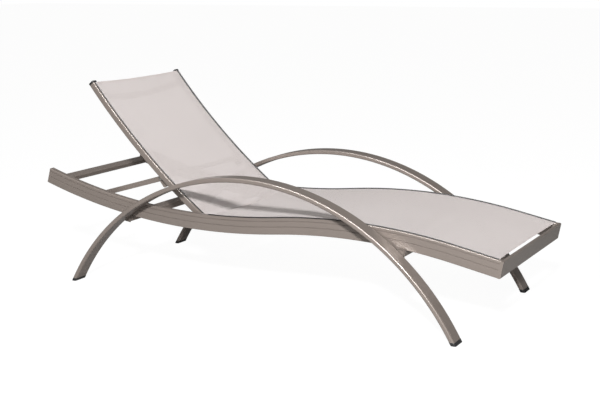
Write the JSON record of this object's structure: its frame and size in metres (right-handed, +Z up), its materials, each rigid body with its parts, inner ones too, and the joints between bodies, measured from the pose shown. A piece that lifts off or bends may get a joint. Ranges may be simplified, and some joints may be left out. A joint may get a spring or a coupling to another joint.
{
  "type": "sun lounger",
  "caption": "Sun lounger with S-curved side rails on arched arm bows, a sling seat, and a reclining sling back held by a prop frame on notched racks.",
  "frame": {"origin": "on the ground, under the middle of the bounding box", "axes": "+X from the head end to the foot end, +Y to the left of a person lying on it, +Z up"},
  "size_m": [2.0108, 0.779, 0.8253],
  "materials": {
    "frame_paint": "satin taupe powder coat",
    "end_cap_plastic": "taupe moulded cap",
    "sling_fabric": "fine woven mesh, light greige",
    "cord_plastic": "extruded edge cord",
    "black_plastic": "moulded",
    "bumper_rubber": "moulded",
    "bush_nylon": "turned",
    "fastener_steel": "stainless"
  },
  "bodies": {
    "frame": {"arm_bow_left": "frame_paint", "arm_bow_right": "frame_paint", "foot_end_bar": "frame_paint", "frame_bolts": "fastener_steel", "front_foot_cap_left": "black_plastic", "front_foot_cap_right": "black_plastic", "front_stretcher": "frame_paint", "head_bar": "frame_paint", "head_bumper_left": "bumper_rubber", "head_bumper_right": "bumper_rubber", "lumbar_bar": "frame_paint", "pivot_bolts": "fastener_steel", "pivot_nuts": "fastener_steel", "rack_left": "black_plastic", "rack_right": "black_plastic", "rack_screws": "fastener_steel", "rear_foot_cap_left": "black_plastic", "rear_foot_cap_right": "black_plastic", "rear_stretcher": "frame_paint", "seat_bow_front": "frame_paint", "seat_bow_rear": "frame_paint", "seat_rail_cap_left": "end_cap_plastic", "seat_rail_cap_right": "end_cap_plastic", "seat_rail_left": "frame_paint", "seat_rail_right": "frame_paint", "seat_sling": "sling_fabric", "seat_sling_cord_left": "cord_plastic", "seat_sling_cord_right": "cord_plastic"},
    "backrest": {"back_rail_left": "frame_paint", "back_rail_right": "frame_paint", "pivot_bush_left": "bush_nylon", "pivot_bush_right": "bush_nylon", "back_top_cap_left": "black_plastic", "back_top_cap_right": "black_plastic", "back_heel_cap_left": "black_plastic", "back_heel_cap_right": "black_plastic", "back_sling_cord_left": "cord_plastic", "back_sling_cord_right": "cord_plastic", "prop_ear_left": "frame_paint", "prop_ear_right": "frame_paint", "back_top_bar": "frame_paint", "back_waist_bar": "frame_paint", "back_sling": "sling_fabric", "ear_rivets": "fastener_steel", "prop_pins": "fastener_steel"},
    "prop": {"prop_arm_left": "frame_paint", "prop_arm_right": "frame_paint", "prop_end_pin_left": "black_plastic", "prop_end_pin_right": "black_plastic", "prop_foot_bar": "frame_paint"}
  },
  "joints": [
    {"name": "backrest_recline", "type": "hinge", "parent": "frame", "child": "backrest", "pos_m": [-0.22467, 0, 0.303], "axis": [0, -1, 0], "range_deg": [-20.2, 32.8]},
    {"name": "prop_swing", "type": "hinge", "parent": "backrest", "child": "prop", "pos_m": [-0.4486, 0, 0.44414], "axis": [0, -1, 0], "range_deg": [-63, 39]}
  ],
  "couplings": [
    {"joint": "prop_swing", "follows": "backrest_recline", "ratio": -1.8855}
  ]
}
